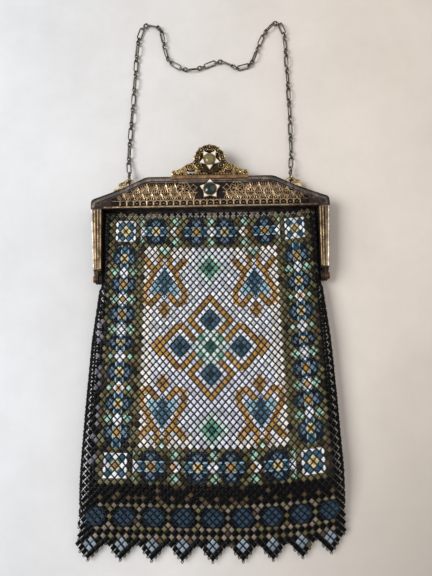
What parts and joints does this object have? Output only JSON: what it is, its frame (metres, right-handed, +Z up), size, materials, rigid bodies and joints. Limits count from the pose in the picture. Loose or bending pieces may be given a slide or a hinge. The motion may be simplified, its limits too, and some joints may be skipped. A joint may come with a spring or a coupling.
{
  "type": "mesh evening bag",
  "caption": "Enamelled mesh evening bag with a pierced hinged metal frame, jewelled crest latch, chain handle and zigzag lower edge.",
  "frame": {"origin": "on the surface that the bag lies on, below the middle of the bag without its chain", "axes": "+X across the bag's width, +Y up the bag towards the crest and chain, +Z up, out of the front of the bag"},
  "size_m": [0.132, 0.2918, 0.0119],
  "materials": {
    "frame_metal": "dark antique patina, worn to brass on the edges",
    "pierced_metal": "aged gilt, pierced",
    "arm_metal": "aged gilt, ribbed",
    "rivet_copper": "worn copper",
    "enamelled_mesh": "coloured enamel on small metal plates",
    "ivory_enamel": "glossy enamel",
    "green_glass": "polished dark green stone",
    "orange_brass": "worn orange brass",
    "antique_nickel": "antique nickel",
    "crest_metal": "aged gilt filigree",
    "yellow_glass": "polished yellow-green stone",
    "lug_metal": "aged gilt casting"
  },
  "bodies": {
    "root": {"back_bar": "frame_metal", "back_pierced_plate": "pierced_metal", "back_arm_left": "arm_metal", "back_arm_right": "arm_metal", "hinge_pin_left": "rivet_copper", "hinge_pin_right": "rivet_copper", "back_mesh": "enamelled_mesh", "front_mesh_lower": "enamelled_mesh", "lug_left": "lug_metal", "lug_right": "lug_metal"},
    "front_frame": {"front_bar": "frame_metal", "front_pierced_plate": "pierced_metal", "front_arm_left": "arm_metal", "front_arm_right": "arm_metal", "front_mesh_upper": "enamelled_mesh", "star_collar": "ivory_enamel", "star_stone": "green_glass", "crest_base": "orange_brass", "crest_pivot_pin": "antique_nickel", "crest_spring": "antique_nickel"},
    "crest": {"crest_plate": "crest_metal", "crest_rim": "crest_metal", "crest_star_collar": "ivory_enamel", "crest_stone": "yellow_glass", "latch_hook": "antique_nickel"},
    "chain": {"chain": "antique_nickel", "chain_end_ring_left": "antique_nickel", "chain_end_ring_right": "antique_nickel"}
  },
  "joints": [
    {"name": "frame_hinge", "type": "hinge", "parent": "root", "child": "front_frame", "pos_m": [0, 0.0325, 0.00485], "axis": [1, 0, 0], "range_deg": [0, 95]},
    {"name": "crest_tilt", "type": "hinge", "parent": "front_frame", "child": "crest", "pos_m": [0, 0.0889, 0.0071], "axis": [1, 0, 0], "range_deg": [0, 15], "stiffness_Nm_per_rad": 0.01, "springref_deg": -17.19},
    {"name": "chain_swing", "type": "hinge", "parent": "root", "child": "chain", "pos_m": [0, 0.0874, 0.0038], "axis": [1, 0, 0], "range_deg": [0, 85]}
  ]
}
